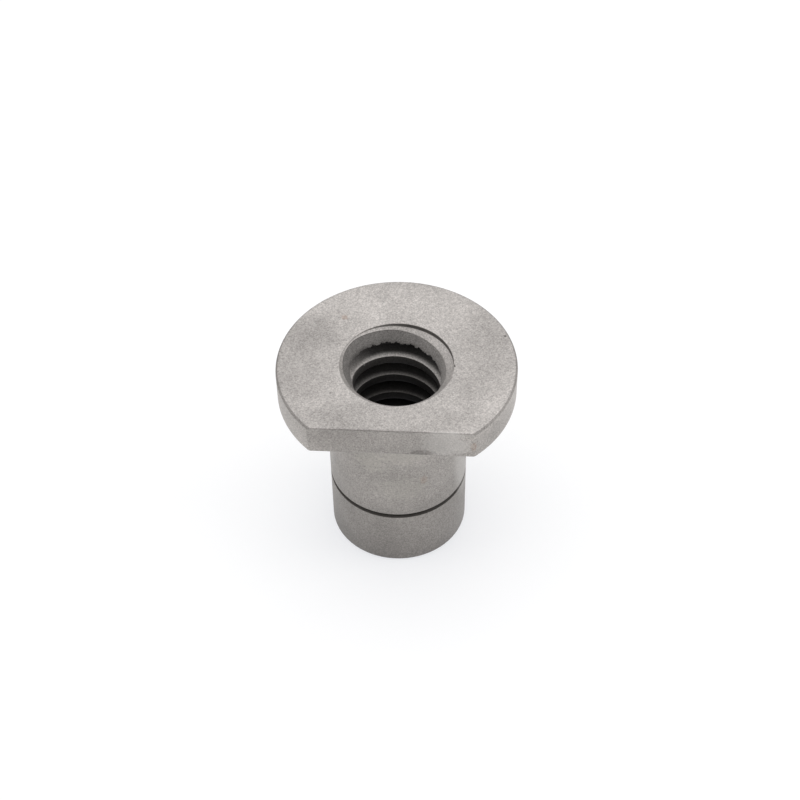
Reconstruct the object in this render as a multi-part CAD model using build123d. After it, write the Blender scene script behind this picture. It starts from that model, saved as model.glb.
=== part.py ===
from build123d import *
from build123d.topology import SkipClean
import math
import os

os.makedirs("parts", exist_ok=True)

# Lifting nut: one turned steel piece standing on its small end.
# Millimetres, +Z up along the thread axis, the flat of the flange faces -Y, z = 0 at the bottom face.
# Angles are in degrees, counted counter-clockwise from +X seen from above.

# Flange
FLANGE_DIAMETER = 62.0
FLANGE_THICKNESS = 8.6
TOP_RIM_CHAMFER = 0.5
LOWER_RIM_BREAK = 0.2
FLAT_DISTANCE = 23.0

# Body
BODY_DIAMETER = 36.9
TOTAL_HEIGHT = 58.3
CORNER_CHAMFER = 0.6
FOOT_CHAMFER = 0.5
GROOVE_CENTRE_Z = 19.0
GROOVE_WIDTH = 1.45
GROOVE_DEPTH = 1.3

# Thread: right-hand, one start, trapezoidal
THREAD_PITCH = 7.0
THREAD_MINOR_DIAMETER = 23.0
THREAD_MAJOR_DIAMETER = 31.0
THREAD_CREST_WIDTH = 2.56
THREAD_FLANK_ANGLE = 15.0
FIRST_CREST_DEPTH = 9.0
FIRST_CREST_AT = 94.0
CUTTER_OVERLAP = 1.2
CREST_SECTORS = 3

# Run-out of the thread groove in the entrance cone
RUNOUT_STARTS_AT = 120.0
RUNOUT_ENDS_AT = 184.0
RUNOUT_STEPS = 6
RUNOUT_LIFT = 4.1

# Entrance at the top of the bore
RECESS_DIAMETER = 29.36
RECESS_WALL_DEPTH = 0.65
RING_ANGLE = 45.0
RING_OFFSET = 0.60
RING_OFFSET_TOWARD = 72.0
CONE_MOUTH_DIAMETER = 29.15
CONE_ANGLE = 30.8
CONE_OFFSET = 0.62
CONE_OFFSET_TOWARD = 96.0

# Exit chamfer at the bottom of the bore
EXIT_CHAMFER_DIAMETER = 31.6
EXIT_CHAMFER_ANGLE = 45.0

# Values that follow from the sizes above
flange_radius = FLANGE_DIAMETER / 2
body_radius = BODY_DIAMETER / 2
seat_z = TOTAL_HEIGHT - FLANGE_THICKNESS
minor_radius = THREAD_MINOR_DIAMETER / 2
major_radius = THREAD_MAJOR_DIAMETER / 2
recess_radius = RECESS_DIAMETER / 2
flank_slope = math.tan(math.radians(THREAD_FLANK_ANGLE))
groove_mouth = THREAD_PITCH - THREAD_CREST_WIDTH
groove_root = groove_mouth - 2 * (major_radius - minor_radius) * flank_slope


def groove_centre_z(angle):
    """Height of the middle of the first thread groove at an angle round the axis."""
    crest_top = TOTAL_HEIGHT - FIRST_CREST_DEPTH
    rise = THREAD_PITCH * (angle - FIRST_CREST_AT) / 360
    return crest_top + groove_mouth / 2 + rise


def groove_profile(angle, lift):
    """Trapezoid of the thread groove in the plane through the axis at an angle, drawn inward by a lift."""
    inner = minor_radius - CUTTER_OVERLAP
    inner_half = groove_mouth / 2 + CUTTER_OVERLAP * flank_slope
    outer = major_radius - lift
    # with a lift the whole trapezoid moves inward, so the mouth narrows with the depth
    mouth_half = inner_half - lift * flank_slope
    radial = Vector(math.cos(math.radians(angle)), math.sin(math.radians(angle)), 0)
    centre = Vector(0, 0, groove_centre_z(angle))
    corners = [
        (inner, -mouth_half),
        (outer, -groove_root / 2),
        (outer, groove_root / 2),
        (inner, mouth_half),
    ]
    points = [centre + radial * r + Vector(0, 0, z) for r, z in corners]
    return Face(Wire.make_polygon(points, close=True))


# Turned outside: half section revolved about the axis
outside_section = [
    (0, 0),
    (body_radius - FOOT_CHAMFER, 0),
    (body_radius, FOOT_CHAMFER),
    (body_radius, GROOVE_CENTRE_Z - GROOVE_WIDTH / 2),
    (body_radius - GROOVE_DEPTH, GROOVE_CENTRE_Z - GROOVE_WIDTH / 2),
    (body_radius - GROOVE_DEPTH, GROOVE_CENTRE_Z + GROOVE_WIDTH / 2),
    (body_radius, GROOVE_CENTRE_Z + GROOVE_WIDTH / 2),
    (body_radius, seat_z - CORNER_CHAMFER),
    (body_radius + CORNER_CHAMFER, seat_z),
    (flange_radius - LOWER_RIM_BREAK, seat_z),
    (flange_radius, seat_z + LOWER_RIM_BREAK),
    (flange_radius, TOTAL_HEIGHT - TOP_RIM_CHAMFER),
    (flange_radius - TOP_RIM_CHAMFER, TOTAL_HEIGHT),
    (0, TOTAL_HEIGHT),
]
with BuildPart() as outside:
    with BuildSketch(Plane.XZ):
        with BuildLine():
            Polyline(*outside_section, close=True)
        make_face()
    revolve(axis=Axis.Z)

nut = outside.part.solid()

# Flat along the front of the flange
flat_cutter = Solid.make_box(
    FLANGE_DIAMETER * 2,
    FLANGE_DIAMETER,
    FLANGE_THICKNESS * 3,
    Plane((-FLANGE_DIAMETER, -FLAT_DISTANCE - FLANGE_DIAMETER, seat_z - FLANGE_THICKNESS)),
)
nut = nut.cut(flat_cutter)

# Minor bore in equal sectors, so that each crest of the thread is made of short faces
sector = 360 / CREST_SECTORS
bore_sectors = [
    Solid.make_cylinder(
        minor_radius,
        TOTAL_HEIGHT + 4,
        Plane((0, 0, -2)).rotated((0, 0, index * sector)),
        angle=sector,
    )
    for index in range(CREST_SECTORS)
]


def entrance_cone(mouth_radius, angle, offset, toward):
    """Cone that narrows downward from a mouth in the top face, with its axis a little off the bore's."""
    slope = math.tan(math.radians(angle))
    direction = math.radians(toward)
    # it begins above the top face and stops at half the minor radius, inside the open bore
    above = 2.0
    depth = (mouth_radius - minor_radius / 2) / slope
    centre = (offset * math.cos(direction), offset * math.sin(direction))
    return Solid.make_cone(
        minor_radius / 2,
        mouth_radius + above * slope,
        depth + above,
        Plane((*centre, TOTAL_HEIGHT - depth)),
    )


# Shallow recess whose floor is a sloping ring, turned off centre, so its wall varies in depth
ring_mouth = recess_radius + RECESS_WALL_DEPTH * math.tan(math.radians(RING_ANGLE))
recess_wall = Solid.make_cylinder(recess_radius, TOTAL_HEIGHT, Plane((0, 0, TOTAL_HEIGHT / 2)))
ring_cone = entrance_cone(ring_mouth, RING_ANGLE, RING_OFFSET, RING_OFFSET_TOWARD)
recess_cutter = recess_wall.intersect(ring_cone).solid()

# Lead-in cone below the ring, off centre as well
cone_cutter = entrance_cone(CONE_MOUTH_DIAMETER / 2, CONE_ANGLE, CONE_OFFSET, CONE_OFFSET_TOWARD)

# Exit chamfer
exit_radius = EXIT_CHAMFER_DIAMETER / 2
exit_height = (exit_radius - minor_radius + 2) / math.tan(math.radians(EXIT_CHAMFER_ANGLE))
exit_cutter = Solid.make_cone(exit_radius + 1, minor_radius - 2 + 1, exit_height, Plane((0, 0, -1)))

# Thread groove, one turn at a time, from the start of the run-out down past the foot
first_bottom = RUNOUT_STARTS_AT - 360
turn_path = Edge.make_helix(
    THREAD_PITCH,
    THREAD_PITCH,
    minor_radius,
    center=(0, 0, groove_centre_z(first_bottom)),
).rotate(Axis.Z, first_bottom)
turn = Solid.sweep(groove_profile(first_bottom, 0), Wire([turn_path]), is_frenet=True)
turn_count = math.ceil((groove_centre_z(RUNOUT_STARTS_AT) + groove_mouth) / THREAD_PITCH)
turns = [turn.moved(Location((0, 0, -THREAD_PITCH * index))) for index in range(turn_count)]

# Run-out: the same groove drawn out of the wall step by step
runout_sections = []
for step in range(RUNOUT_STEPS + 1):
    share = step / RUNOUT_STEPS
    angle = RUNOUT_STARTS_AT + share * (RUNOUT_ENDS_AT - RUNOUT_STARTS_AT)
    # drawn out slowly at first, then faster
    lift = RUNOUT_LIFT * share**1.5
    runout_sections.append(groove_profile(angle, lift))
runout = Solid.make_loft([face.outer_wire() for face in runout_sections])

# The faces are not merged after each cut, which keeps the sectors of the bore
with SkipClean():
    for cutter in (*bore_sectors, recess_cutter, cone_cutter, exit_cutter, *turns, runout):
        nut = nut.cut(cutter)

nut = nut.solid()
nut.label = "lifting_nut"
nut.color = Color(0.62, 0.61, 0.59)
export_step(nut, "parts/lifting_nut.step")
print("volume", round(nut.volume, 1), "faces", len(nut.faces()), "valid", nut.is_valid)
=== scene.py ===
"""Lifting nut: the dressed model, its studio and its camera.

The nut is one closed skin. Its outside is a half section carried round the axis, and its bore is a
surface of radius over angle and height, with the thread groove followed along its helix.
Lengths are in millimetres until the mesh is written, which is in metres.
Angles are in degrees, counted counter-clockwise from +X seen from above.
"""
import logging
import math
from dataclasses import dataclass, field
from enum import Enum

import bmesh
import bpy
import numpy as np
from mathutils import Matrix, Vector


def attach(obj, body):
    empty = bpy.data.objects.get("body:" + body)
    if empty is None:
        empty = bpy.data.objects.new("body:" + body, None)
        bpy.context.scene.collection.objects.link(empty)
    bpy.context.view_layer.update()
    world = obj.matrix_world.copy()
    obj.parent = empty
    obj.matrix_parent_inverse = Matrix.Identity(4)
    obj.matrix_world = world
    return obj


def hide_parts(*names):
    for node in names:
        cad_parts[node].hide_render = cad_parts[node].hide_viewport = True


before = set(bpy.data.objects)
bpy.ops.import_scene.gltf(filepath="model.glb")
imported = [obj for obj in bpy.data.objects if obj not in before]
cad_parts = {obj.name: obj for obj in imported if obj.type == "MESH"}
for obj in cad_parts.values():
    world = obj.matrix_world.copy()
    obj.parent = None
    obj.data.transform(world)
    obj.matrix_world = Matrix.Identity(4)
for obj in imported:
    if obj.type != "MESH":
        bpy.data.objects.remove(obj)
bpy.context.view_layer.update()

LOG = logging.getLogger("lifting_nut")
MM = 0.001


class Zone(Enum):
    """Which finish a stretch of the skin takes."""

    BLASTED = 0
    THREAD = 1


class Shade(Enum):
    """Colours of the steel, of its marks, of painted shade and of painted highlights, linear."""

    STEEL_LIGHT = (0.535, 0.504, 0.483)
    STEEL_DARK = (0.410, 0.386, 0.369)
    BORE_LIGHT = (0.580, 0.552, 0.530)
    BORE_DARK = (0.470, 0.443, 0.424)
    # bright steel for worn spots, and also painted highlights: glints, the lit sides of the body and a
    # bright edge line
    WEAR_AND_HIGHLIGHT = (0.720, 0.700, 0.680)
    PALE = (0.560, 0.540, 0.490)
    RUST = (0.330, 0.180, 0.100)
    # dark stains and nicks, and also the painted shade of the outside's mask
    STAIN_AND_SHADE = (0.060, 0.054, 0.048)
    # painted shade in the bore: its groove, its crests and its depth
    PAINTED_BORE_SHADE = (0.019, 0.018, 0.017)


@dataclass(frozen=True)
class NutSizes:
    """Sizes of the nut. Its recess wall and its lead-in cone are drawn more finely than on its solid."""

    flange_radius: float = 31.0
    seat_z: float = 49.7
    top_z: float = 58.3
    rim_chamfer: float = 0.5
    rim_break: float = 0.2
    flat_distance: float = 23.0
    flat_break: float = 0.10
    body_radius: float = 18.45
    corner_fillet: float = 0.6
    foot_chamfer: float = 0.5
    ring_z: float = 19.0
    ring_width: float = 1.45
    ring_depth: float = 1.3
    minor_radius: float = 11.5
    major_radius: float = 15.5
    pitch: float = 7.0
    crest_width: float = 2.56
    flank_angle: float = 15.0
    first_crest_depth: float = 9.0
    first_crest_at: float = 94.0
    runout_from: float = 120.0
    runout_to: float = 184.0
    runout_lift: float = 4.1
    recess_radius: float = 14.68
    recess_wall: float = 1.30
    recess_deepest: float = 50.0
    ring_angle: float = 45.0
    cone_mouth: float = 14.29
    cone_angle: float = 27.7
    cone_offset: float = 0.565
    cone_toward: float = 95.0
    cone_lobe: float = 0.16
    lobe_at: float = 120.0
    lobe_width: float = 22.0
    exit_radius: float = 15.8

    @property
    def flank_slope(self) -> float:
        """Axial run of a flank for each millimetre of radius."""
        return math.tan(math.radians(self.flank_angle))

    @property
    def mouth(self) -> float:
        """Width of the thread groove at the minor radius."""
        return self.pitch - self.crest_width

    @property
    def root(self) -> float:
        """Width of the thread groove at the major radius."""
        return self.mouth - 2 * (self.major_radius - self.minor_radius) * self.flank_slope


def soft_max(a: np.ndarray, b: np.ndarray, blend: float) -> np.ndarray:
    """Larger of two surfaces with a rounded join.

    Where they are closer than twice the blend, half the blend times the square of
    (1 - distance / twice the blend) is added, so each is met exactly farther away.

    Args:
        a: first surface.
        b: second surface.
        blend: size of the rounding in millimetres.

    Returns:
        The joined surface.
    """
    near = np.clip(1.0 - np.abs(a - b) / (2.0 * blend), 0.0, 1.0)
    return np.maximum(a, b) + 0.5 * blend * near**2


def soft_min(a: np.ndarray, b: np.ndarray, blend: float) -> np.ndarray:
    """Smaller of two surfaces with a rounded join, the mirror of soft_max.

    Args:
        a: first surface.
        b: second surface.
        blend: size of the rounding in millimetres.

    Returns:
        The joined surface.
    """
    return -soft_max(-a, -b, blend)


def wave_noise(angle: np.ndarray, waves: list[tuple[float, float]]) -> np.ndarray:
    """Closed wavy line round the axis: the sum of sines of whole counts, scaled to about -1 to 1.

    Args:
        angle: angles in degrees.
        waves: pairs of a whole count per turn and a phase.

    Returns:
        The line's value at each angle.
    """
    turns = np.radians(angle)
    total = sum(np.sin(count * turns + phase) for count, phase in waves)
    return total / math.sqrt(len(waves))


def rim_shade_line(angle: np.ndarray) -> np.ndarray:
    """Share of the painted shade line along the rim of the cone: a steep cosine, full at the left and
    behind.

    Args:
        angle: angles in degrees.

    Returns:
        Shares from 0.15 to 1.
    """
    return np.clip(1.5 * np.cos(np.radians(angle - 150.0)), 0.15, 1.0)


@dataclass
class Columns:
    """Angles at which the section stands, shared by the outside and the bore."""

    sizes: NutSizes
    start: float = -60.0
    fine_from: float = 10.0
    fine_to: float = 195.0
    fine_step: float = 0.72
    step: float = 1.30
    least_step: float = 0.02
    beside_edge: tuple[float, ...] = (-0.9, -0.45, -0.2, -0.07, 0.07, 0.2, 0.45, 0.9)

    def angles(self) -> np.ndarray:
        """Steps round one turn, finer behind the bore and at the two upright edges of the flat.

        Returns:
            Ascending angles over one whole turn, without its last repeat.
        """
        before = np.arange(self.start, self.fine_from, self.step)
        fine = np.arange(self.fine_from, self.fine_to, self.fine_step)
        after = np.arange(self.fine_to, self.start + 360.0 - 0.5 * self.step, self.step)
        even = np.concatenate([before, fine, after])
        half = math.degrees(math.acos(self.sizes.flat_distance / self.sizes.flange_radius))
        beside = np.array(self.beside_edge)
        corners = np.concatenate([-90 - half + beside, -90 + half + beside])
        corners = self.start + (corners - self.start) % 360.0
        merged = np.sort(np.concatenate([even, corners]))
        keep = np.concatenate([[True], np.diff(merged) > self.least_step])
        return merged[keep]


@dataclass
class Entrance:
    """Recess and cone at the top of the bore."""

    sizes: NutSizes

    def wall_depth(self, angle: np.ndarray) -> np.ndarray:
        """Depth of the recess wall: a cosine from its deepest side, slower to the right.

        Args:
            angle: angles in degrees.

        Returns:
            Depths in millimetres.
        """
        s = self.sizes
        turn = (angle - s.recess_deepest + 180.0) % 360.0 - 180.0
        lean = s.recess_wall * np.cos(np.radians(turn * np.where(turn < 0.0, 0.80, 1.0)))
        return soft_max(lean, np.full_like(lean, 0.08), 0.36)

    def ring(self, angle: np.ndarray, radius: np.ndarray) -> np.ndarray:
        """Height of the sloping ring: the foot of the wall less the way inward times the slope.

        Args:
            angle: angles in degrees.
            radius: radii in millimetres.

        Returns:
            Heights in millimetres.
        """
        s = self.sizes
        slope = math.tan(math.radians(s.ring_angle))
        return s.top_z - self.wall_depth(angle) - (s.recess_radius - radius) * slope

    def cone(self, angle: np.ndarray, z: np.ndarray) -> np.ndarray:
        """Radius of the lead-in cone, turned a little off the axis and a little out of round.

        The cone's own radius shrinks with the depth, and by a bell-shaped lobe round one angle. Its
        distance from the nut's axis is the offset's share along the ray plus the root of radius
        squared less the share across it.

        Args:
            angle: angles in degrees.
            z: heights in millimetres.

        Returns:
            Radii from the nut's axis.
        """
        s = self.sizes
        aside = (angle - s.lobe_at + 180.0) % 360.0 - 180.0
        lobe = s.cone_lobe * np.exp(-((aside / s.lobe_width) ** 2))
        own = s.cone_mouth - lobe - (s.top_z - z) * math.tan(math.radians(s.cone_angle))
        own = np.maximum(own, 1.0)
        turn = np.radians(angle - s.cone_toward)
        along = s.cone_offset * np.cos(turn)
        across = s.cone_offset * np.sin(turn)
        return along + np.sqrt(own**2 - across**2)

    def rim(self, angle: np.ndarray) -> tuple[np.ndarray, np.ndarray]:
        """Where the cone meets the ring, found by repeated steps.

        Args:
            angle: angles in degrees.

        Returns:
            The rim's radius and height at each angle.
        """
        radius = np.full_like(angle, self.sizes.minor_radius + 2.0)
        for _ in range(24):
            radius = self.cone(angle, self.ring(angle, radius))
        return radius, self.ring(angle, radius)


@dataclass
class ThreadedBore:
    """The bore from the foot up to the ring: exit chamfer, thread, run-out and cone."""

    sizes: NutSizes
    entrance: Entrance
    crest_blend: float = 0.10
    runout_blend: float = 0.35
    root_blend: float = 0.35
    cone_blend: float = 0.25
    exit_blend: float = 0.12
    lowest_turn: int = -8
    highest_turn: int = 1
    torn: float = 0.50
    lead: float = 0.30
    foot_lead: float = 0.12

    def groove_middle(self, unwound: np.ndarray) -> np.ndarray:
        """Height of the middle of the thread groove, one pitch for each turn.

        Args:
            unwound: angle in degrees counted on through the turns.

        Returns:
            Heights in millimetres.
        """
        s = self.sizes
        start = s.top_z - s.first_crest_depth + s.mouth / 2
        return start + s.pitch * (unwound - s.first_crest_at) / 360.0

    def lift(self, unwound: np.ndarray) -> np.ndarray:
        """How far the groove is drawn out of the wall: the run-out's share to the power of 1.5.

        Args:
            unwound: angle in degrees counted on through the turns.

        Returns:
            Radial lift in millimetres.
        """
        return self.sizes.runout_lift * np.clip(self.runout_share(unwound), 0.0, None) ** 1.5

    def runout_share(self, unwound: np.ndarray) -> np.ndarray:
        """How far along the run-out an angle lies, 0 at its start and 1 at its end.

        Args:
            unwound: angle in degrees counted on through the turns.

        Returns:
            Shares, below 0 before the run-out and above 1 past it.
        """
        s = self.sizes
        return (unwound - s.runout_from) / (s.runout_to - s.runout_from)

    def wall(self, angle: np.ndarray, z: np.ndarray) -> np.ndarray:
        """Radius of the plain wall: the largest of minor bore, entrance cone and exit chamfer.

        Args:
            angle: angles in degrees.
            z: heights in millimetres.

        Returns:
            Radii in millimetres.
        """
        s = self.sizes
        bore = soft_max(np.full_like(z, s.minor_radius), self.entrance.cone(angle, z), self.cone_blend)
        return soft_max(bore, s.exit_radius - z, self.exit_blend)

    def groove(self, unwound: np.ndarray, offset: np.ndarray) -> np.ndarray:
        """Radius of the thread groove: straight flanks from the mouth down to a rounded root.

        Args:
            unwound: angle in degrees counted on through the turns.
            offset: height above the groove's middle.

        Returns:
            Radii in millimetres.
        """
        s = self.sizes
        lift = self.lift(unwound)
        half = s.mouth / 2 + np.where(offset > 0, self.torn * self.ragged(unwound), 0.0)
        flank = s.minor_radius - lift + (half - np.abs(offset)) / s.flank_slope
        return soft_min(flank, s.major_radius - lift, self.root_blend)

    def edge_offset(self, unwound: np.ndarray, side: float) -> np.ndarray:
        """Distance from the groove's middle to its edge on the wall, found by repeated steps.

        Args:
            unwound: angle in degrees counted on through the turns.
            side: +1 for the upper edge, -1 for the lower.

        Returns:
            Offsets in millimetres, never less than half the root.
        """
        s = self.sizes
        middle = self.groove_middle(unwound)
        half = s.mouth / 2 + (self.torn * self.ragged(unwound) if side > 0 else 0.0 * unwound)
        offset = half
        for _ in range(10):
            wall = self.wall(unwound, middle + side * offset)
            reach = wall - s.minor_radius + self.lift(unwound)
            offset = np.clip(half - reach * s.flank_slope, s.root / 2 + 0.02, half)
        return offset

    def ragged(self, unwound: np.ndarray) -> np.ndarray:
        """Torn upper edge of the first groove: a toothed line that fades into the run-out.

        Args:
            unwound: angle in degrees counted on through the turns.

        Returns:
            Values from -0.6 to 0.9 along the edge, 0 elsewhere.
        """
        lumps = wave_noise(unwound, [(11, 0.4), (23, 2.1), (37, 4.0)])
        chips = wave_noise(unwound, [(61, 1.2), (97, 5.1), (131, 2.2)])
        teeth = np.clip(0.50 * lumps + 0.30 * chips, -0.6, 0.9)
        rise = np.clip((unwound + 75.0) / 60.0, 0.0, 1.0)
        fall = np.clip((160.0 - unwound) / 25.0, 0.0, 1.0)
        return teeth * rise * fall

    def offsets(self, unwound: np.ndarray) -> list[tuple[np.ndarray, float, float]]:
        """Rows of one turn: half a crest, lower flank, root, upper flank and half a crest.

        Args:
            unwound: angles in degrees counted on through the turns.

        Returns:
            For each row its height above the groove's middle, its painted shade as a crest and as a groove.
        """
        s = self.sizes
        level = np.zeros_like(unwound)
        low, high = self.edge_offset(unwound, -1.0), self.edge_offset(unwound, 1.0)
        ends = [level - s.pitch / 2, -low, level - s.root / 2, level + s.root / 2, high, level + s.pitch / 2]
        # painted shade of the rows: crests darkened, the lower flank clear at its lip and shaded deeper in,
        # the root and the upper flank darkest
        crest, flank, root = (0.83, 0.0), (0.0, 0.0), (0.0, 0.93)
        stretches = [
            [(0.0, crest), (0.40, crest), (0.94, crest)],
            [(0.0, flank), (0.04, flank), (0.13, (0.0, 0.05)), (0.23, (0.0, 0.35)), (0.33, (0.0, 0.75)),
             (0.44, root), (0.93, root)],
            [(0.0, root), (0.15, root), (0.85, root)],
            [(0.0, root), (0.07, root), (0.50, root), (0.94, root)],
            [(0.0, (0.30, 0.60)), (0.08, crest), (0.60, crest)],
        ]
        rows = []
        for start, end, stretch in zip(ends[:-1], ends[1:], stretches):
            rows += [(start + share * (end - start), *painted_shade) for share, painted_shade in stretch]
        return rows

    def grid(self, angles: np.ndarray) -> tuple[np.ndarray, np.ndarray, np.ndarray, np.ndarray]:
        """Surface of the bore on rows that follow the helix, between rows along the foot and the rim.

        Heights beyond the ends are held at them, and are welded later.

        Args:
            angles: ascending angles over one turn, with its last repeat.

        Returns:
            Angles, radii, heights and a painted shade mask, each of shape rows by columns.
        """
        s = self.sizes
        turns = [angles + 360.0 * turn for turn in range(self.lowest_turn, self.highest_turn + 1)]
        rows = [(unwound, *row) for unwound in turns for row in self.offsets(unwound)]
        unwound = np.array([row[0] for row in rows])
        middle = self.groove_middle(unwound)
        rim_radius, rim_z = self.entrance.rim(angles)
        z = np.clip(middle + np.array([row[1] for row in rows]), self.foot_lead, rim_z[None, :] - self.lead)
        faded = np.clip(self.runout_share(unwound), 0.0, 1.0)
        blend = self.crest_blend + self.runout_blend * faded
        radius = soft_max(self.wall(unwound, z), self.groove(unwound, z - middle), blend)

        # painted shade: on the cone behind the bore, on the crests below it, in the groove up to its
        # run-out, and growing with depth
        depth = s.top_z - z
        crest = np.array([row[2] for row in rows])[:, None] * np.clip((depth - 5.0) / 2.5, 0.0, 1.0)
        back = 0.70 + 0.30 * np.clip(np.cos(np.radians(unwound - 85.0)), 0.0, 1.0)
        narrow = 1.0 - 0.6 * np.clip((depth - 10.5) / 3.0, 0.0, 1.0)
        groove = np.array([row[3] for row in rows])[:, None] ** narrow * (1.0 - faded**1.2) * back
        groove = groove * np.clip((depth - 2.5) / 1.5, 0.0, 1.0)
        cone = self.cone_shade(unwound) * np.clip(6.2 - depth, 0.0, 1.0)
        deep = 0.92 * (1.0 - np.exp(-np.clip(depth - 9.0, 0.0, None) / 8.5))
        painted_shade = np.maximum.reduce([cone, crest, groove])
        painted_shade = np.minimum(painted_shade + (1.0 - painted_shade) * deep, 0.93) * np.clip(z / 22.0, 0.25, 1.0)

        # plain rows along the foot and along the rim
        foot_z = np.array([0.0, 0.03, 0.07])[:, None] + 0.0 * angles
        foot_radius = s.exit_radius - foot_z
        lead_z = rim_z[None, :] - self.lead * np.array([0.55, 0.28, 0.08, 0.0])[:, None]
        lead_radius = np.minimum(self.entrance.cone(angles, lead_z), rim_radius)
        # painted shade line along the rim of the cone
        lead_shade = self.cone_shade(angles) + np.array([0.0, 0.03, 0.30, 0.40])[:, None] * rim_shade_line(angles)
        radius = np.concatenate([foot_radius, radius, lead_radius])
        z = np.concatenate([foot_z, z, lead_z])
        painted_shade = np.concatenate([np.full_like(foot_z, 0.3), painted_shade, lead_shade])
        return np.broadcast_to(angles, z.shape), radius, z, painted_shade

    def cone_shade(self, angle: np.ndarray) -> np.ndarray:
        """Painted shade on the lead-in cone: a level and a cosine, darkest behind and at the left.

        Args:
            angle: angles in degrees.

        Returns:
            Painted shade mask from 0 to 1.
        """
        return 0.43 + 0.20 * np.cos(np.radians(angle - 128.0))


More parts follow.
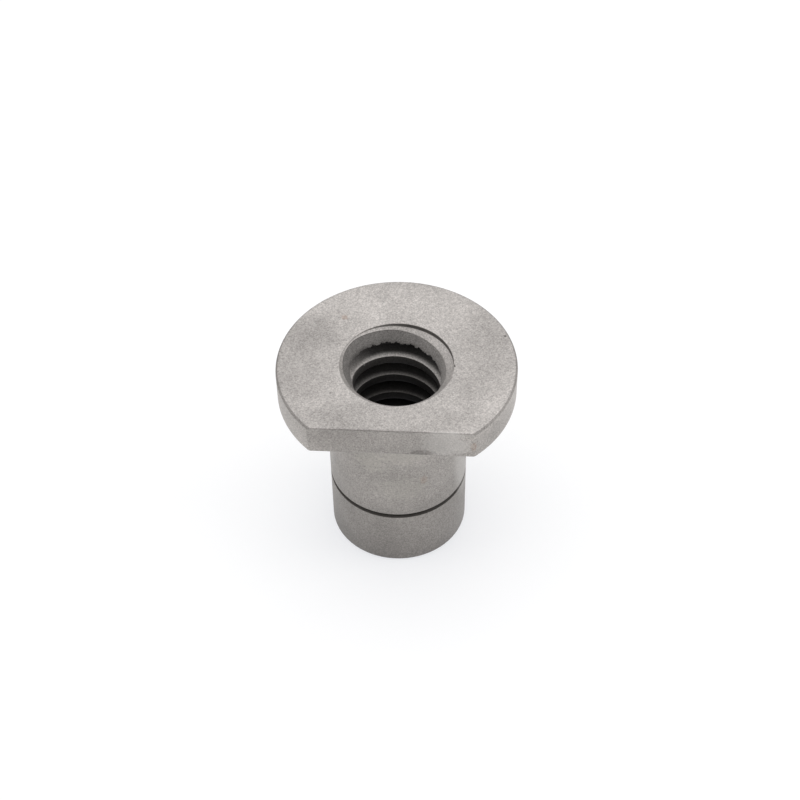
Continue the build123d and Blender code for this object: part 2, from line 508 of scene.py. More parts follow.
@dataclass
class TurnedOutside:
    """The outside from the rim of the cone over the flange and down the body to the foot.

    Stops are shares of the way along a stretch, each with its painted shade mask.
    """

    sizes: NutSizes
    entrance: Entrance
    edge_round: float = 0.10
    flat_round: float = 0.16
    ring_stops: tuple[tuple[float, float], ...] = (
        (0.0, 0.80), (0.06, 0.40), (0.12, 0.0), (0.35, 0.0), (0.65, 0.0), (0.92, 0.0), (1.0, 0.1))
    side_stops: tuple[tuple[float, float], ...] = (
        (0.0, 0.10), (0.06, 0.0), (0.25, 0.0), (0.5, 0.0), (0.75, 0.0), (0.94, 0.0), (1.0, 0.0))

    def flange_side(self, angle: np.ndarray, inset: float) -> np.ndarray:
        """Outer line of the flange: the smaller of its circle and the flat's distance over cosine.

        Args:
            angle: angles in degrees.
            inset: how far the circle is drawn in by an edge break.

        Returns:
            Radii in millimetres.
        """
        s = self.sizes
        turn = np.radians(angle + 90.0)
        facing = np.cos(turn)
        flat = np.where(facing > 0.05, s.flat_distance / np.maximum(facing, 0.05), 1e3)
        return soft_min(np.full_like(angle, s.flange_radius - inset), flat, self.flat_round)

    def grid(self, angles: np.ndarray) -> tuple[np.ndarray, np.ndarray, np.ndarray, np.ndarray]:
        """Rows of the outside, each a radius and a height at every angle.

        Args:
            angles: ascending angles over one turn, with its last repeat.

        Returns:
            Angles, radii, heights and a painted shade mask, each of shape rows by columns.
        """
        s = self.sizes
        e = self.edge_round
        one = np.ones_like(angles)
        rim_radius, _ = self.entrance.rim(angles)
        rows: list[tuple[np.ndarray, np.ndarray, np.ndarray]] = []

        def add(radius: np.ndarray, z: np.ndarray, painted_shade: np.ndarray | float = 0.0) -> None:
            """Add one row: its radius, its height and its painted shade mask."""
            rows.append((radius * one, z * one, painted_shade * one))

        # sloping ring and recess wall, with painted shade along the cone's rim and on the ring's left side,
        # and a painted shadow on the wall, darkest at the right
        ring_end = s.recess_radius - 0.05
        left = np.clip(np.cos(np.radians(angles - 180.0)), 0.0, 1.0) ** 2
        line = rim_shade_line(angles)
        for share, painted_shade in self.ring_stops:
            radius = rim_radius + (ring_end - rim_radius) * share
            add(radius, self.entrance.ring(angles, radius), painted_shade * line + 0.30 * left)
        wall_height = self.entrance.wall_depth(angles)
        foot_of_wall = s.top_z - wall_height
        wall_shade = 0.50 + 0.30 * np.clip(2.5 * np.cos(np.radians(angles - 15.0)), -1.0, 1.0)
        for share in (0.02, 0.30, 0.65, 0.88):
            add(s.recess_radius * one, foot_of_wall + share * wall_height, wall_shade)
        add((s.recess_radius + 0.05) * one, (s.top_z - 0.01) * one, 0.15)

        # top face, drawn between the opening and the outer line
        inner = s.recess_radius + 0.15
        side = self.flange_side(angles, 0.0)
        top_line = np.minimum(self.flange_side(angles, s.rim_chamfer), side - s.flat_break)
        for share in (0.0, 0.03, 0.12, 0.25, 0.4, 0.55, 0.7, 0.82, 0.92, 0.975):
            add(inner + (top_line - 0.05 - inner) * share, s.top_z * one)
        drop = side - top_line
        # painted shade on the chamfer of the top edge
        add(top_line - 0.03, s.top_z * one, 0.05)
        add(top_line + 0.10 * drop, s.top_z - 0.06 * drop, 0.45)
        add(top_line + 0.50 * drop, s.top_z - 0.52 * drop, 0.50)
        add(top_line + 0.92 * drop, s.top_z - 0.95 * drop, 0.45)

        # side of the flange and its underside, with painted shade under the flange and in the corner fillet
        side_top = s.top_z - drop - 0.08
        low = s.seat_z + s.rim_break
        for share, painted_shade in self.side_stops:
            add(side, side_top + (low - side_top) * share, painted_shade)
        add(side - 0.5 * s.rim_break, (s.seat_z + 0.35 * s.rim_break) * one, 0.25)
        add(side - s.rim_break, s.seat_z * one, 0.30)
        fillet_out = s.body_radius + s.corner_fillet
        for share, painted_shade in ((0.03, 0.15), (0.3, 0.15), (0.6, 0.25), (0.9, 0.45), (1.0, 0.50)):
            add(side - s.rim_break + (fillet_out - side + s.rim_break) * share, s.seat_z * one, painted_shade)
        for turn in np.radians([18, 36, 54, 72, 90]):
            radius = fillet_out - s.corner_fillet * math.sin(turn)
            add(radius * one, (s.seat_z - s.corner_fillet * (1 - math.cos(turn))) * one, 0.50)

        # body down to the ring groove, the groove, and down to the foot, with painted shade growing towards
        # the foot, in the ring groove and on the foot's chamfer
        ring_top = s.ring_z + s.ring_width / 2
        ring_low = s.ring_z - s.ring_width / 2
        body_top = s.seat_z - s.corner_fillet
        for share in (0.02, 0.08, 0.2, 0.4, 0.6, 0.8, 0.97):
            z = body_top + (ring_top + e - body_top) * share
            add(s.body_radius * one, z * one, self.body_shade(z))
        ring_floor = s.body_radius - s.ring_depth
        for z in (ring_top + e, ring_low - e):
            inward = 1.0 if z > s.ring_z else -1.0
            lip = [
                (s.body_radius, z, self.body_shade(z)),
                (s.body_radius - 0.3 * e, z - 0.7 * inward * e, 0.55),
                (s.body_radius - e, z - inward * e, 0.85),
                (ring_floor + 0.1, z - inward * e, 1.0),
                (ring_floor, z - inward * (e + 0.1), 1.0),
            ]
            for radius, height, painted_shade in (lip if z > s.ring_z else lip[::-1]):
                add(radius * one, height * one, painted_shade)
        foot_top = s.foot_chamfer
        for share in (0.03, 0.25, 0.5, 0.75, 0.97, 1.0):
            z = ring_low - e + (foot_top + 0.05 - ring_low + e) * share
            add(s.body_radius * one, z * one, self.body_shade(z))
        foot_out = s.body_radius - s.foot_chamfer - 0.06
        add((s.body_radius - 0.03) * one, (foot_top - 0.03) * one, 0.50)
        add((s.body_radius - s.foot_chamfer + 0.03) * one, 0.03 * one, 0.50)
        for share in (0.0, 0.1, 0.5, 0.9, 1.0):
            add((foot_out + (s.exit_radius - foot_out) * share) * one, 0.0 * one, 0.20)

        radius = np.array([row[0] for row in rows])
        z = np.array([row[1] for row in rows])
        painted_shade = np.array([row[2] for row in rows])
        return np.broadcast_to(angles, z.shape), radius, z, painted_shade

    def body_shade(self, z: float) -> float:
        """Painted shade on the body: it grows from the flange down to the foot.

        Args:
            z: height in millimetres.

        Returns:
            Painted shade mask at that height.
        """
        return 0.08 + 0.48 * (1.0 - z / self.sizes.seat_z) ** 1.15


@dataclass
class LiftingNut:
    """The whole nut: bore and outside joined into one closed skin."""

    sizes: NutSizes = field(default_factory=NutSizes)
    node: str = "lifting_nut"
    weld: float = 2e-6

    def points(self, angle: np.ndarray, radius: np.ndarray, z: np.ndarray) -> np.ndarray:
        """Points in metres from angles, radii and heights: radius times cosine, radius times sine, z.

        Args:
            angle: angles in degrees.
            radius: radii in millimetres.
            z: heights in millimetres.

        Returns:
            An array of points, one row each.
        """
        turn = np.radians(angle)
        xyz = np.stack([radius * np.cos(turn), radius * np.sin(turn), z], axis=-1)
        return xyz.reshape(-1, 3) * MM

    def faces(self, rows: int, columns: int, first: int) -> np.ndarray:
        """Four corners of each face of a grid, row by row.

        Args:
            rows: rows of points.
            columns: columns of points.
            first: index of the grid's first point.

        Returns:
            An array of corner indices, four to a face.
        """
        index = first + np.arange(rows * columns).reshape(rows, columns)
        quads = np.stack([index[:-1, :-1], index[:-1, 1:], index[1:, 1:], index[1:, :-1]], axis=-1)
        return quads.reshape(-1, 4)

    def build(self) -> bpy.types.Object:
        """Build the skin, weld it closed and write its masks.

        Returns:
            The nut's object, at the origin and unscaled.
        """
        s = self.sizes
        columns = Columns(s).angles()
        angles = np.append(columns, columns[0] + 360.0)
        entrance = Entrance(s)
        bore = ThreadedBore(s, entrance)
        outside = TurnedOutside(s, entrance)

        bore_angle, bore_radius, bore_z, bore_shade = bore.grid(angles)
        out_angle, out_radius, out_z, outside_shade = outside.grid(angles)
        bore_points = self.points(bore_angle, bore_radius, bore_z)
        out_points = self.points(out_angle, out_radius, out_z)
        points = np.concatenate([bore_points, out_points])
        # the bore's faces look at the axis, and the outside's look away from it
        bore_faces = self.faces(*bore_z.shape, 0)[:, ::-1]
        out_faces = self.faces(*out_z.shape, len(bore_points))[:, ::-1]
        faces = np.concatenate([bore_faces, out_faces])
        zones = np.concatenate([np.full(len(bore_faces), Zone.THREAD.value),
                                np.full(len(out_faces), Zone.BLASTED.value)])
        painted_shade = np.concatenate([bore_shade.reshape(-1), outside_shade.reshape(-1)])

        mesh = bpy.data.meshes.new("lifting_nut_skin")
        mesh.vertices.add(len(points))
        mesh.vertices.foreach_set("co", points.astype(np.float32).ravel())
        mesh.loops.add(faces.size)
        mesh.loops.foreach_set("vertex_index", faces.astype(np.int32).ravel())
        mesh.polygons.add(len(faces))
        mesh.polygons.foreach_set("loop_start", np.arange(0, faces.size, 4, dtype=np.int32))
        mesh.polygons.foreach_set("material_index", zones.astype(np.int32))
        mesh.update(calc_edges=True)
        # painted shade mask: darkening in the bore, on the recess, under the flange, in the ring groove and
        # towards the foot
        mask = mesh.attributes.new("painted_shade_mask", "FLOAT", "POINT")
        mask.data.foreach_set("value", painted_shade.astype(np.float32))
        self.close(mesh)
        piece = bpy.data.objects.new("lifting_nut_skin", mesh)
        bpy.context.scene.collection.objects.link(piece)
        return piece

    def close(self, mesh: bpy.types.Mesh) -> None:
        """Weld the seams and the held rows, and smooth the shading.

        Args:
            mesh: the skin before welding.
        """
        work = bmesh.new()
        work.from_mesh(mesh)
        bmesh.ops.remove_doubles(work, verts=work.verts, dist=self.weld)
        bmesh.ops.dissolve_degenerate(work, dist=self.weld * 0.5, edges=work.edges)
        open_edges = sum(1 for edge in work.edges if not edge.is_manifold)
        for face in work.faces:
            face.smooth = True
        volume = work.calc_volume(signed=True) * 1e6
        LOG.info("skin: %d faces, %d open edges, %.2f cm3", len(work.faces), open_edges, volume)
        work.to_mesh(mesh)
        work.free()


class GroupKit:
    """Small helper that builds a shader node group with named sockets."""

    def __init__(self, name: str, inputs: dict[str, float], outputs: list[str]) -> None:
        """Make the group and its sockets.

        Args:
            name: the group's name.
            inputs: socket names with their values.
            outputs: names of the outputs, all plain values.
        """
        self.tree = bpy.data.node_groups.new(name, "ShaderNodeTree")
        self.tree.interface.new_socket("Vector", in_out="INPUT", socket_type="NodeSocketVector")
        for label, value in inputs.items():
            socket = self.tree.interface.new_socket(label, in_out="INPUT", socket_type="NodeSocketFloat")
            socket.default_value = value
        for label in outputs:
            self.tree.interface.new_socket(label, in_out="OUTPUT", socket_type="NodeSocketFloat")
        self.entry = self.tree.nodes.new("NodeGroupInput")
        self.exit = self.tree.nodes.new("NodeGroupOutput")

    def noise(self, scale: float, detail: float, vector: bpy.types.NodeSocket,
              roughness: float = 0.55) -> bpy.types.NodeSocket:
        """Noise texture on a vector.

        Args:
            scale: cells for each unit of the vector.
            detail: octaves.
            vector: where it is read.
            roughness: weight of the finer octaves.

        Returns:
            The value output.
        """
        node = self.tree.nodes.new("ShaderNodeTexNoise")
        node.inputs["Scale"].default_value = scale
        node.inputs["Detail"].default_value = detail
        node.inputs["Roughness"].default_value = roughness
        self.tree.links.new(vector, node.inputs["Vector"])
        return node.outputs["Fac"]

    def math(self, kind: str, a: object, b: object = 0.0, clamp: bool = False) -> bpy.types.NodeSocket:
        """One math node on two sockets or numbers.

        Args:
            kind: the operation.
            a: first socket or number.
            b: second socket or number.
            clamp: whether the result is held between 0 and 1.

        Returns:
            The value output.
        """
        node = self.tree.nodes.new("ShaderNodeMath")
        node.operation = kind
        node.use_clamp = clamp
        for slot, value in zip(node.inputs, (a, b)):
            if isinstance(value, bpy.types.NodeSocket):
                self.tree.links.new(value, slot)
            else:
                slot.default_value = float(value)
        return node.outputs[0]

    def ramp(self, value: bpy.types.NodeSocket, low: float, high: float) -> bpy.types.NodeSocket:
        """Value spread from a low and a high bound to 0 and 1, with smooth ends.

        Args:
            value: the socket to spread.
            low: becomes 0.
            high: becomes 1.

        Returns:
            The value output.
        """
        node = self.tree.nodes.new("ShaderNodeMapRange")
        node.interpolation_type = "SMOOTHSTEP"
        node.inputs["From Min"].default_value = low
        node.inputs["From Max"].default_value = high
        self.tree.links.new(value, node.inputs["Value"])
        return node.outputs["Result"]

    def give(self, label: str, value: bpy.types.NodeSocket) -> None:
        """Send a value to a named output."""
        self.tree.links.new(value, self.exit.inputs[label])


def blast_grain_group() -> bpy.types.NodeTree:
    """Grain of a blasted surface: a fine pitting, a coarser mottling, broad clouds and painted glints as
    bright flecks.

    Returns:
        The node group, with outputs Grain, Mottle, Cloud and one for the painted glints.
    """
    kit = GroupKit("BlastGrain", {"Size": 1.0}, ["Grain", "Mottle", "Cloud", "PaintedGlint"])
    scaled = kit.tree.nodes.new("ShaderNodeVectorMath")
    scaled.operation = "SCALE"
    kit.tree.links.new(kit.entry.outputs["Vector"], scaled.inputs[0])
    kit.tree.links.new(kit.entry.outputs["Size"], scaled.inputs["Scale"])
    where = scaled.outputs["Vector"]
    kit.give("Grain", kit.noise(2600.0, 2.0, where, 0.6))
    kit.give("Mottle", kit.noise(950.0, 3.0, where, 0.60))
    kit.give("Cloud", kit.noise(75.0, 2.0, where, 0.5))
    # painted glints: bright flecks that stand for sparkle of light
    kit.give("PaintedGlint", kit.ramp(kit.noise(2100.0, 1.0, where, 0.5), 0.67, 0.78))
    return kit.tree


def spot_group() -> bpy.types.NodeTree:
    """Mask of one spot: distance from its centre over its size, broken up by noise.

    Returns:
        The node group, with output Mask.
    """
    inputs = {"X": 0.0, "Y": 0.0, "Z": 0.0, "Width": 1.0, "Depth": 1.0, "Height": 1.0, "Ragged": 0.4}
    kit = GroupKit("MarkSpot", inputs, ["Mask"])
    split = kit.tree.nodes.new("ShaderNodeSeparateXYZ")
    kit.tree.links.new(kit.entry.outputs["Vector"], split.inputs[0])
    parts = []
    for axis, size in (("X", "Width"), ("Y", "Depth"), ("Z", "Height")):
        away = kit.math("SUBTRACT", split.outputs[axis], kit.math("MULTIPLY", kit.entry.outputs[axis], MM))
        share = kit.math("DIVIDE", away, kit.math("MULTIPLY", kit.entry.outputs[size], MM))
        parts.append(kit.math("MULTIPLY", share, share))
    far = kit.math("ADD", kit.math("ADD", parts[0], parts[1]), parts[2])
    rough = kit.math("SUBTRACT", kit.noise(900.0, 3.0, kit.entry.outputs["Vector"], 0.65), 0.5)
    torn = kit.math("MULTIPLY_ADD", rough, kit.math("MULTIPLY", kit.entry.outputs["Ragged"], 6.0))
    kit.tree.links.new(far, torn.node.inputs[2])
    spread = kit.ramp(torn, 0.35, 1.25)
    kit.give("Mask", kit.math("SUBTRACT", 1.0, spread, clamp=True))
    return kit.tree


@dataclass(frozen=True)
class Mark:
    """One spot laid over the steel's colour, used for real marks and for painted highlights: a place in
    millimetres, its half sizes, its colour and its strength.
    """

    place: tuple[float, float, float]
    size: tuple[float, float, float]
    shade: Shade
    strength: float = 0.6
    ragged: float = 0.4
    dent: float = 0.0


@dataclass(frozen=True)
class SteelFinish:
    """Blasted, slightly oxidised steel, with painted shade, painted glints and painted highlights laid into
    its colour.
    """

    name: str
    light: Shade
    dark: Shade
    roughness: float
    metallic: float
    grain_bump: float
    painted_shade_colour: Shade
    specular: float
    marks: tuple[Mark, ...] = ()

    def material(self, grain: bpy.types.NodeTree, spot: bpy.types.NodeTree) -> bpy.types.Material:
        """Build the material from the shared groups.

        Args:
            grain: the BlastGrain group.
            spot: the MarkSpot group.

        Returns:
            The finished material.
        """
        made = bpy.data.materials.new(self.name)
        made.use_nodes = True
        tree = made.node_tree
        tree.nodes.clear()
        links, nodes = tree.links, tree.nodes
        out = nodes.new("ShaderNodeOutputMaterial")
        shader = nodes.new("ShaderNodeBsdfPrincipled")
        links.new(shader.outputs[0], out.inputs["Surface"])
        shader.inputs["Metallic"].default_value = self.metallic
        shader.inputs["Specular IOR Level"].default_value = self.specular
        where = nodes.new("ShaderNodeTexCoord").outputs["Object"]

        pattern = nodes.new("ShaderNodeGroup")
        pattern.node_tree = grain
        links.new(where, pattern.inputs["Vector"])

        colour = self.mix(tree, pattern.outputs["Cloud"], self.dark.value, self.light.value, 0.30, 0.70)
        speck = nodes.new("ShaderNodeMapRange")
        speck.inputs["From Min"].default_value = 0.25
        speck.inputs["From Max"].default_value = 0.75
        speck.inputs["To Min"].default_value = 0.62
        speck.inputs["To Max"].default_value = 1.38
        links.new(pattern.outputs["Grain"], speck.inputs["Value"])
        mottle = nodes.new("ShaderNodeMapRange")
        mottle.inputs["From Min"].default_value = 0.3
        mottle.inputs["From Max"].default_value = 0.7
        mottle.inputs["To Min"].default_value = 0.90
        mottle.inputs["To Max"].default_value = 1.10
        links.new(pattern.outputs["Mottle"], mottle.inputs["Value"])
        both = nodes.new("ShaderNodeMath")
        both.operation = "MULTIPLY"
        links.new(speck.outputs["Result"], both.inputs[0])
        links.new(mottle.outputs["Result"], both.inputs[1])
        toned = nodes.new("ShaderNodeVectorMath")
        toned.operation = "SCALE"
        links.new(colour, toned.inputs[0])
        links.new(both.outputs[0], toned.inputs["Scale"])
        colour = toned.outputs["Vector"]

        # painted glints: bright flecks laid over the colour
        glint = nodes.new("ShaderNodeMath")
        glint.operation = "MULTIPLY"
        glint.inputs[1].default_value = 0.60
        links.new(pattern.outputs["PaintedGlint"], glint.inputs[0])
        colour = self.blend(tree, glint.outputs[0], colour, Shade.WEAR_AND_HIGHLIGHT.value)

        # painted shade: the colour darkened towards the painted shade colour by the mask
        shade_mask = nodes.new("ShaderNodeAttribute")
        shade_mask.attribute_name = "painted_shade_mask"
        colour = self.blend(tree, shade_mask.outputs["Fac"], colour, self.painted_shade_colour.value)

        height = pattern.outputs["Grain"]
        for mark in self.marks:
            place = nodes.new("ShaderNodeGroup")
            place.node_tree = spot
            links.new(where, place.inputs["Vector"])
            for label, value in zip(("X", "Y", "Z"), mark.place):
                place.inputs[label].default_value = value
            for label, value in zip(("Width", "Depth", "Height"), mark.size):
                place.inputs[label].default_value = value
            place.inputs["Ragged"].default_value = mark.ragged
            share = nodes.new("ShaderNodeMath")
            share.operation = "MULTIPLY"
            share.inputs[1].default_value = mark.strength
            links.new(place.outputs["Mask"], share.inputs[0])
            colour = self.blend(tree, share.outputs[0], colour, mark.shade.value)
            if mark.dent:
                lower = nodes.new("ShaderNodeMath")
                lower.operation = "MULTIPLY_ADD"
                lower.inputs[1].default_value = -mark.dent
                links.new(place.outputs["Mask"], lower.inputs[0])
                links.new(height, lower.inputs[2])
                height = lower.outputs[0]
        links.new(colour, shader.inputs["Base Color"])

        rough = nodes.new("ShaderNodeMapRange")
        rough.inputs["To Min"].default_value = self.roughness - 0.06
        rough.inputs["To Max"].default_value = self.roughness + 0.06
        links.new(pattern.outputs["Mottle"], rough.inputs["Value"])
        links.new(rough.outputs["Result"], shader.inputs["Roughness"])
        bump = nodes.new("ShaderNodeBump")
        bump.inputs["Strength"].default_value = self.grain_bump
        bump.inputs["Distance"].default_value = 0.00012
        links.new(height, bump.inputs["Height"])
        links.new(bump.outputs["Normal"], shader.inputs["Normal"])
        return made

    @staticmethod
    def mix(tree: bpy.types.NodeTree, factor: bpy.types.NodeSocket, low: tuple, high: tuple,
            start: float, end: float) -> bpy.types.NodeSocket:
        """Colour that goes from one to another as a value goes from a start to an end.

        Args:
            tree: the material's nodes.
            factor: the value that drives it.
            low: colour at the start.
            high: colour at the end.
            start: value of the first colour.
            end: value of the second colour.

        Returns:
            The colour output.
        """
        ramp = tree.nodes.new("ShaderNodeValToRGB")
        ramp.color_ramp.elements[0].position = start
        ramp.color_ramp.elements[0].color = (*low, 1.0)
        ramp.color_ramp.elements[1].position = end
        ramp.color_ramp.elements[1].color = (*high, 1.0)
        tree.links.new(factor, ramp.inputs[0])
        return ramp.outputs[0]

    @staticmethod
    def blend(tree: bpy.types.NodeTree, factor: bpy.types.NodeSocket, base: bpy.types.NodeSocket,
              over: tuple) -> bpy.types.NodeSocket:
        """Lay a colour over another where a mask allows.

        Args:
            tree: the material's nodes.
            factor: the mask.
            base: the colour below.
            over: the colour on top.

        Returns:
            The colour output.
        """
        node = tree.nodes.new("ShaderNodeMix")
        node.data_type = "RGBA"
        node.inputs[7].default_value = (*over, 1.0)
        tree.links.new(factor, node.inputs[0])
        tree.links.new(base, node.inputs[6])
        return node.outputs[2]


@dataclass(frozen=True)
class Studio:
    """White surroundings, a pale floor, soft lamps and the camera."""

    world_level: float = 0.72
    floor_size: float = 6.0
    floor_colour: tuple[float, float, float] = (0.475, 0.465, 0.435)
    floor_lift: float = 0.60
    lift_colour: tuple[float, float, float] = (0.92, 0.94, 1.00)
    view_height: float = 47.457
    view_turn: float = 4.018
    view_roll: float = -0.935
    aim_z: float = 29.138
    aim_right: float = 0.7264
    aim_above: float = 10.4852
    view_distance: float = 435.23
    sensor: float = 36.0
    lens: float = 72.81

    def light(self) -> None:
        """Set the world and the soft lamps."""
        world = bpy.data.worlds.new("studio")
        bpy.context.scene.world = world
        world.use_nodes = True
        tree = world.node_tree
        tree.nodes.clear()
        out = tree.nodes.new("ShaderNodeOutputWorld")
        plain = tree.nodes.new("ShaderNodeBackground")
        plain.inputs["Strength"].default_value = self.world_level
        plain.inputs["Color"].default_value = (1.0, 1.0, 1.0, 1.0)
        white = tree.nodes.new("ShaderNodeBackground")
        white.inputs["Strength"].default_value = 1.0
        mix = tree.nodes.new("ShaderNodeMixShader")
        tree.links.new(self.seen(tree), mix.inputs[0])
        tree.links.new(plain.outputs[0], mix.inputs[1])
        tree.links.new(white.outputs[0], mix.inputs[2])
        tree.links.new(mix.outputs[0], out.inputs["Surface"])
        self.lamp("overhead", (-0.05, 0.15, 0.9), (0.0, 0.0, 0.03), 0.8, 2.2)
        self.lamp("left", (-0.9, -0.1, 0.45), (0.0, 0.0, 0.03), 0.6, 1.2)
        self.lamp("right", (0.9, 0.0, 0.45), (0.0, 0.0, 0.03), 0.6, 1.9)

    @staticmethod
    def seen(tree: bpy.types.NodeTree) -> bpy.types.NodeSocket:
        """1 for rays that show a background: from the camera, in a reflection or through glass.

        Args:
            tree: the nodes of a material or of the world.

        Returns:
            The value output, never above 1.
        """
        ray = tree.nodes.new("ShaderNodeLightPath")
        value = ray.outputs["Is Camera Ray"]
        for label in ("Is Glossy Ray", "Is Transmission Ray"):
            more = tree.nodes.new("ShaderNodeMath")
            more.operation = "MAXIMUM"
            tree.links.new(value, more.inputs[0])
            tree.links.new(ray.outputs[label], more.inputs[1])
            value = more.outputs[0]
        return value

    def lamp(self, name: str, place: tuple[float, float, float], aim: tuple[float, float, float],
             size: float, power: float) -> None:
        """Add one square soft lamp.

        Args:
            name: the lamp's name.
            place: where it hangs, in metres.
            aim: the point that it faces.
            size: its side in metres.
            power: its power in watts.
        """
        data = bpy.data.lights.new(name, "AREA")
        data.size = size
        data.energy = power
        lamp = bpy.data.objects.new(name, data)
        bpy.context.scene.collection.objects.link(lamp)
        lamp.location = place
        facing = Vector(aim) - Vector(place)
        lamp.rotation_euler = facing.to_track_quat("-Z", "Y").to_euler()

    def floor(self) -> None:
        """Lay the pale floor under the foot."""
        half = self.floor_size / 2
        mesh = bpy.data.meshes.new("floor")
        corners = [(-half, -half, 0), (half, -half, 0), (half, half, 0), (-half, half, 0)]
        mesh.from_pydata(corners, [], [(0, 1, 2, 3)])
        floor = bpy.data.objects.new("floor", mesh)
        bpy.context.scene.collection.objects.link(floor)
        made = bpy.data.materials.new("pale_floor")
        made.use_nodes = True
        tree = made.node_tree
        tree.nodes.clear()
        out = tree.nodes.new("ShaderNodeOutputMaterial")
        plain = tree.nodes.new("ShaderNodeBsdfDiffuse")
        plain.inputs["Color"].default_value = (*self.floor_colour, 1.0)
        glow = tree.nodes.new("ShaderNodeEmission")
        glow.inputs["Color"].default_value = (*self.lift_colour, 1.0)
        dim = tree.nodes.new("ShaderNodeMath")
        dim.operation = "MULTIPLY"
        dim.inputs[1].default_value = self.floor_lift
        tree.links.new(self.seen(tree), dim.inputs[0])
        tree.links.new(dim.outputs[0], glow.inputs["Strength"])
        add = tree.nodes.new("ShaderNodeAddShader")
        tree.links.new(plain.outputs[0], add.inputs[0])
        tree.links.new(glow.outputs[0], add.inputs[1])
        tree.links.new(add.outputs[0], out.inputs["Surface"])
        mesh.materials.append(made)

    def camera(self) -> None:
        """Place the camera at the height, turn and roll of the view, looking at its aim."""
        lift, turn = math.radians(self.view_height), math.radians(self.view_turn)
        roll = math.radians(self.view_roll)
        right = Vector((math.cos(turn), math.sin(turn), 0.0))
        ahead = Vector((-math.sin(turn) * math.cos(lift), math.cos(turn) * math.cos(lift), -math.sin(lift)))
        above = right.cross(ahead)
        aim = Vector((0.0, 0.0, self.aim_z)) + right * self.aim_right + above * self.aim_above
        place = aim - ahead * self.view_distance
        tilted_right = right * math.cos(roll) + above * math.sin(roll)
        tilted_up = above * math.cos(roll) - right * math.sin(roll)
        data = bpy.data.cameras.new("camera")
        data.sensor_width = self.sensor
        data.lens = self.lens
        data.clip_start = 0.01
        data.clip_end = 50.0
        camera = bpy.data.objects.new("camera", data)
        bpy.context.scene.collection.objects.link(camera)
        turned = Matrix((tilted_right, tilted_up, -ahead)).transposed().to_4x4()
        turned.translation = place * MM
        camera.matrix_world = turned
        bpy.context.scene.camera = camera


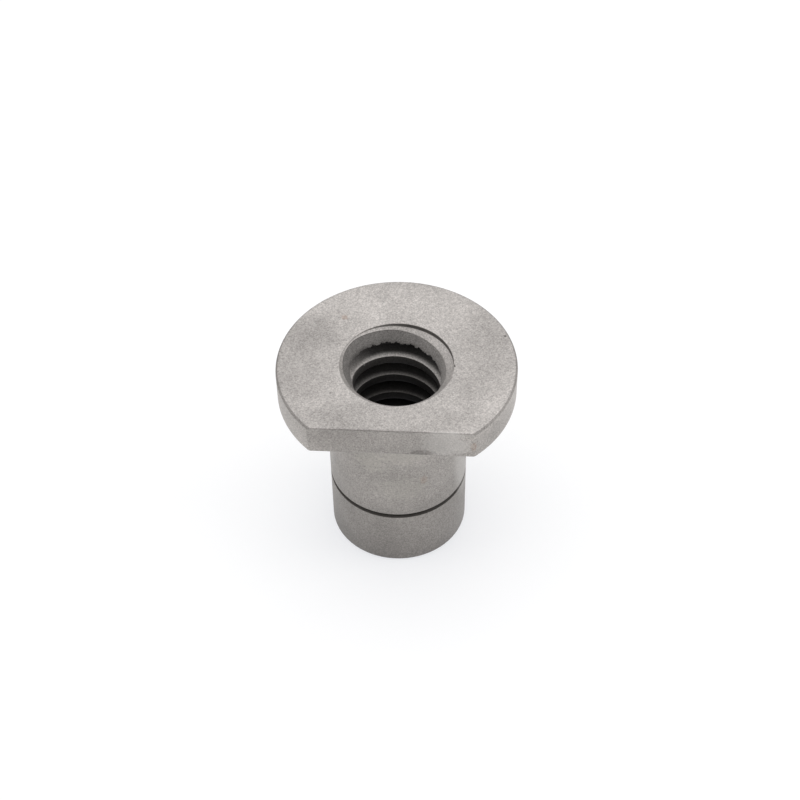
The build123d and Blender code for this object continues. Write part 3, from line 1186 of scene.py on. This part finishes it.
def main() -> None:
    """Build the nut, dress it, and set the studio and the camera."""
    logging.basicConfig(level=logging.INFO, format="%(name)s %(message)s")
    nut = LiftingNut()
    skin = nut.build()
    LOG.info("built %s", skin.name)

    top, flat = nut.sizes.top_z, -nut.sizes.flat_distance
    marks = (
        Mark((-14.57, 16.43, top), (1.0, 1.0, 0.5), Shade.RUST, 0.30, 0.6),
        Mark((-16.1, -10.9, top), (0.30, 0.30, 0.5), Shade.STAIN_AND_SHADE, 0.40, 0.4),
        Mark((27.5, 11.4, top), (0.5, 0.35, 0.5), Shade.STAIN_AND_SHADE, 0.8, 0.3, 2.0),
        Mark((14.7, 0.0, top), (0.4, 0.5, 0.5), Shade.STAIN_AND_SHADE, 0.8, 0.3, 2.0),
        Mark((20.5, flat,53.6), (0.8, 0.8, 1.6), Shade.RUST, 0.30, 0.6),
        Mark((7.8, -16.7, 32.5), (1.0, 1.0, 1.6), Shade.RUST, 0.20, 0.6),
        Mark((7.5, flat,50.7), (3.3, 0.6, 1.1), Shade.STAIN_AND_SHADE, 0.40, 0.65, 1.5),
        Mark((16.5, flat,51.0), (1.8, 0.6, 0.8), Shade.STAIN_AND_SHADE, 0.18, 0.5),
        Mark((13.5, flat,54.5), (6.5, 1.0, 5.0), Shade.WEAR_AND_HIGHLIGHT, 0.40, 0.5),
        # painted highlight: a thin bright line along the flat's lower edge
        Mark((-3.4, flat,49.9), (6.5, 0.6, 0.16), Shade.WEAR_AND_HIGHLIGHT, 0.45, 0.1),
        # broad faint darkenings of the flat, of the top face at its left and right, and of the flange's
        # front corner
        Mark((-4.0, flat,54.0), (20.0, 0.8, 7.0), Shade.STAIN_AND_SHADE, 0.20, 0.1),
        Mark((-23.0, 2.0, top), (10.0, 16.0, 1.0), Shade.STAIN_AND_SHADE, 0.18, 0.1),
        Mark((22.0, 2.0, top), (9.0, 14.0, 1.0), Shade.STAIN_AND_SHADE, 0.09, 0.1),
        Mark((28.0, -14.0, 53.5), (7.0, 8.0, 4.0), Shade.STAIN_AND_SHADE, 0.14, 0.1),
        Mark((2.0, -18.0, 30.0), (7.0, 4.0, 5.0), Shade.PALE, 0.22, 0.9),
        # broad faint darkening along the front of the top face
        Mark((0.0, -19.0, top), (22.0, 6.0, 1.0), Shade.STAIN_AND_SHADE, 0.12, 0.1),
        Mark((-6.0, -18.0, 40.0), (5.0, 6.0, 4.0), Shade.PALE, 0.34, 0.9),
        Mark((3.0, -18.3, 43.0), (6.0, 6.0, 3.0), Shade.PALE, 0.32, 0.9),
        # painted light: the body's right and left sides lightened, where light falls and reflects on them
        Mark((17.5, -4.0, 32.0), (4.5, 7.0, 18.0), Shade.WEAR_AND_HIGHLIGHT, 0.34, 0.1),
        Mark((-17.5, -4.0, 36.0), (4.0, 6.0, 14.0), Shade.WEAR_AND_HIGHLIGHT, 0.14, 0.1),
    )
    flecks = (
        Mark((-6.9, 9.2, 50.2), (0.45, 0.45, 0.25), Shade.WEAR_AND_HIGHLIGHT, 0.9, 0.4),
        Mark((-9.1, 7.2, 50.0), (0.30, 0.30, 0.20), Shade.WEAR_AND_HIGHLIGHT, 0.7, 0.4),
        Mark((-8.5, 7.7, 44.0), (0.40, 0.40, 0.22), Shade.WEAR_AND_HIGHLIGHT, 0.8, 0.4),
    )
    grain, spot = blast_grain_group(), spot_group()
    outside = SteelFinish("blasted_steel", Shade.STEEL_LIGHT, Shade.STEEL_DARK, 0.50, 0.45, 0.45,
                          Shade.STAIN_AND_SHADE, 0.5, marks)
    inside = SteelFinish("thread_steel", Shade.BORE_LIGHT, Shade.BORE_DARK, 0.50, 0.40, 0.30,
                         Shade.PAINTED_BORE_SHADE, 0.08, flecks)
    for finish in (outside, inside):
        skin.data.materials.append(finish.material(grain, spot))
        LOG.info("finish %s", finish.name)
    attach(skin, "root")
    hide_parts(nut.node)

    studio = Studio()
    studio.floor()
    studio.light()
    studio.camera()
    scene = bpy.context.scene
    scene.view_settings.view_transform = "Standard"


if __name__ == "__main__":
    main()
